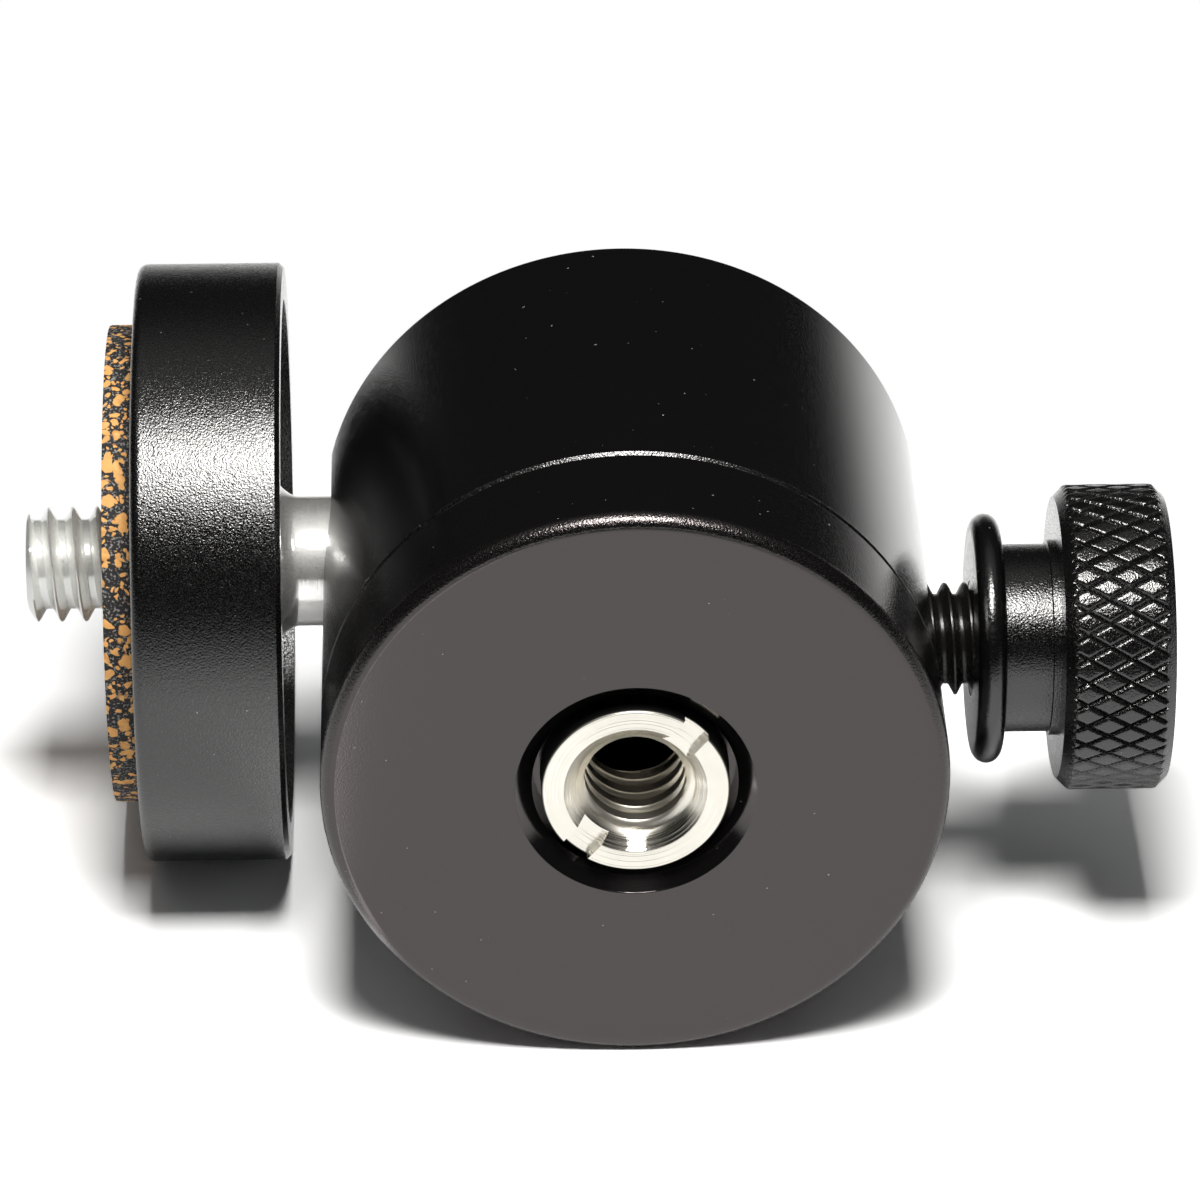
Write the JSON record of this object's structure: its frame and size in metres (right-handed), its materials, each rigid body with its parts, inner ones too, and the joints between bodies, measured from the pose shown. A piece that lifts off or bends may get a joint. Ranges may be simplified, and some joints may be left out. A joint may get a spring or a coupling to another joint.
{
  "type": "tripod ball head",
  "caption": "Small ball head: a slotted barrel on a threaded base, a round camera platform on the ball's stem, and a side knob whose stud clamps the ball.",
  "frame": {"origin": "centre of the base's mounting face, on the axis of the tripod thread", "axes": "+Z from the base to the barrel's open end, +X towards the clamping knob, -X along the stem where it lies in the barrel's slot at rest"},
  "size_m": [0.059, 0.0314, 0.0388],
  "materials": {
    "black_anodised": "bead-blasted and black anodised",
    "knob_black": "turned, diamond-knurled and black anodised",
    "black_oxide_steel": "black oxide, lightly oiled",
    "chromed_steel": "polished and chromed",
    "bright_steel": "rolled thread, bright zinc",
    "bushing_nickel": "turned and nickel plated",
    "acetal": "turned acetal",
    "brass": "turned",
    "spring_steel": "stamped and tempered",
    "cork_rubber": "black rubber with cork granules",
    "adhesive_film": "double-sided film"
  },
  "bodies": {
    "base": {"housing": "black_anodised", "base_plate": "black_anodised", "reducer_bushing": "bushing_nickel", "base_set_screw": "black_oxide_steel", "shim_washer": "spring_steel", "disc_spring": "spring_steel", "lower_cup": "acetal", "seat_ring": "acetal"},
    "swivel_ball": {"ball": "chromed_steel"},
    "camera_mount": {"stem": "chromed_steel", "platform": "black_anodised", "pad_adhesive": "adhesive_film", "cork_pad": "cork_rubber", "camera_screw": "bright_steel"},
    "clamp_tip": {"pressure_pad": "brass", "pad_snap_ring": "spring_steel"},
    "clamp_knob": {"knob": "knob_black", "knob_stud": "black_oxide_steel"}
  },
  "joints": [
    {"name": "ball_tilt", "type": "hinge", "parent": "base", "child": "swivel_ball", "pos_m": [0, 0, 0.0231], "axis": [0, 1, 0], "range_deg": [0, 135]},
    {"name": "stem_turn", "type": "hinge", "parent": "swivel_ball", "child": "camera_mount", "pos_m": [0, 0, 0.0231], "axis": [-1, 0, 0], "continuous": true},
    {"name": "clamp_travel", "type": "slide", "parent": "base", "child": "clamp_tip", "axis": [1, 0, 0], "range_m": [-0.0002, 0.0025]},
    {"name": "knob_turn", "type": "hinge", "parent": "clamp_tip", "child": "clamp_knob", "pos_m": [0, 0, 0.01435], "axis": [1, 0, 0], "range_deg": [-73, 901]}
  ],
  "couplings": [
    {"joint": "knob_turn", "follows": "clamp_travel", "rad_per_m": 6283.2}
  ]
}
